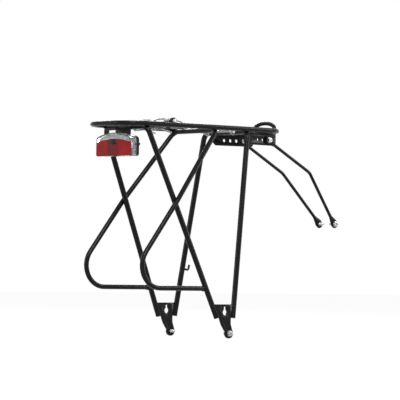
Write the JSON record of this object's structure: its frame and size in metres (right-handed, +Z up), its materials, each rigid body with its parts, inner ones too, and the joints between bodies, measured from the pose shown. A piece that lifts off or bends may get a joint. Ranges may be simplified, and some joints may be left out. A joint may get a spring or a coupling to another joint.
{
  "type": "bicycle rear rack",
  "caption": "Black tubular bicycle rear rack with a spring clamp, side pannier hoops, slotted foot plates, bent fitting struts and a red battery rear light.",
  "frame": {"origin": "midway between the two eyelet bolts at the rear axle, where the rack is fastened to the bicycle", "axes": "+X to the front of the bicycle, +Y to its left, +Z up"},
  "size_m": [0.5455, 0.186, 0.4043],
  "materials": {
    "black_paint": "semi-gloss powder coat",
    "zinc_plate": "bright zinc plate",
    "spring_steel": "drawn spring wire",
    "black_plastic": "fine grain",
    "clear_plastic": "clear, polished",
    "red_plastic": "transparent red with reflector pattern",
    "silver_plastic": "vacuum metallised",
    "board_green": "solder mask",
    "led_dark": "dark resin",
    "battery_skin": "printed foil",
    "black_rubber": "matt"
  },
  "bodies": {
    "rack": {"battery_contact_left": "zinc_plate", "battery_contact_right": "zinc_plate", "clamp_cross_tube": "black_paint", "clamp_lug_left": "black_paint", "clamp_lug_right": "black_paint", "clamp_pin": "zinc_plate", "clamp_spring_left": "spring_steel", "clamp_spring_right": "spring_steel", "foot_bolt_left": "zinc_plate", "foot_bolt_right": "zinc_plate", "foot_plate_left": "black_paint", "foot_plate_right": "black_paint", "foot_washer_left": "zinc_plate", "foot_washer_right": "zinc_plate", "front_stay_tube": "black_paint", "light_base": "black_plastic", "light_battery_left": "battery_skin", "light_battery_right": "battery_skin", "light_board": "board_green", "light_bracket": "black_paint", "light_cover": "clear_plastic", "light_led": "led_dark", "light_nut_left": "zinc_plate", "light_nut_right": "zinc_plate", "light_red_lens": "red_plastic", "light_reflector": "silver_plastic", "light_stud_left": "zinc_plate", "light_stud_right": "zinc_plate", "light_switch": "black_plastic", "light_washer_left": "zinc_plate", "light_washer_right": "zinc_plate", "luggage_arch": "black_paint", "pannier_hoop_tube": "black_paint", "platform_loop": "black_paint", "rear_stay_tube": "black_paint", "strap_hook": "black_paint", "strut_bolt_left": "zinc_plate", "strut_bolt_right": "zinc_plate", "strut_nut_left": "zinc_plate", "strut_nut_right": "zinc_plate", "strut_plate_left": "black_paint", "strut_plate_right": "black_paint", "strut_washer_left": "zinc_plate", "strut_washer_right": "zinc_plate"},
    "clamp": {"clamp_frame": "spring_steel"},
    "left_strut": {"strut_left": "black_paint", "stay_bolt_left": "zinc_plate", "stay_washer_left": "zinc_plate"},
    "right_strut": {"strut_right": "black_paint", "stay_bolt_right": "zinc_plate", "stay_washer_right": "zinc_plate"},
    "button": {"light_button": "black_rubber"}
  },
  "joints": [
    {"name": "clamp_hinge", "type": "hinge", "parent": "rack", "child": "clamp", "pos_m": [-0.104, 0, 0.383], "axis": [0, -1, 0], "range_deg": [0, 75], "stiffness_Nm_per_rad": 0.5, "springref_deg": -91.67},
    {"name": "left_strut_hinge", "type": "hinge", "parent": "rack", "child": "left_strut", "pos_m": [0.12624, 0.03619, 0.358], "axis": [0.1508, 0.9886, 0], "range_deg": [-20, 35]},
    {"name": "right_strut_hinge", "type": "hinge", "parent": "rack", "child": "right_strut", "pos_m": [0.12624, -0.03619, 0.358], "axis": [-0.1508, 0.9886, 0], "range_deg": [-20, 35]},
    {"name": "light_button_push", "type": "slide", "parent": "rack", "child": "button", "axis": [0, 1, 0], "range_m": [0, 0.0015], "stiffness_N_per_m": 500, "springref_m": -0.0008}
  ]
}
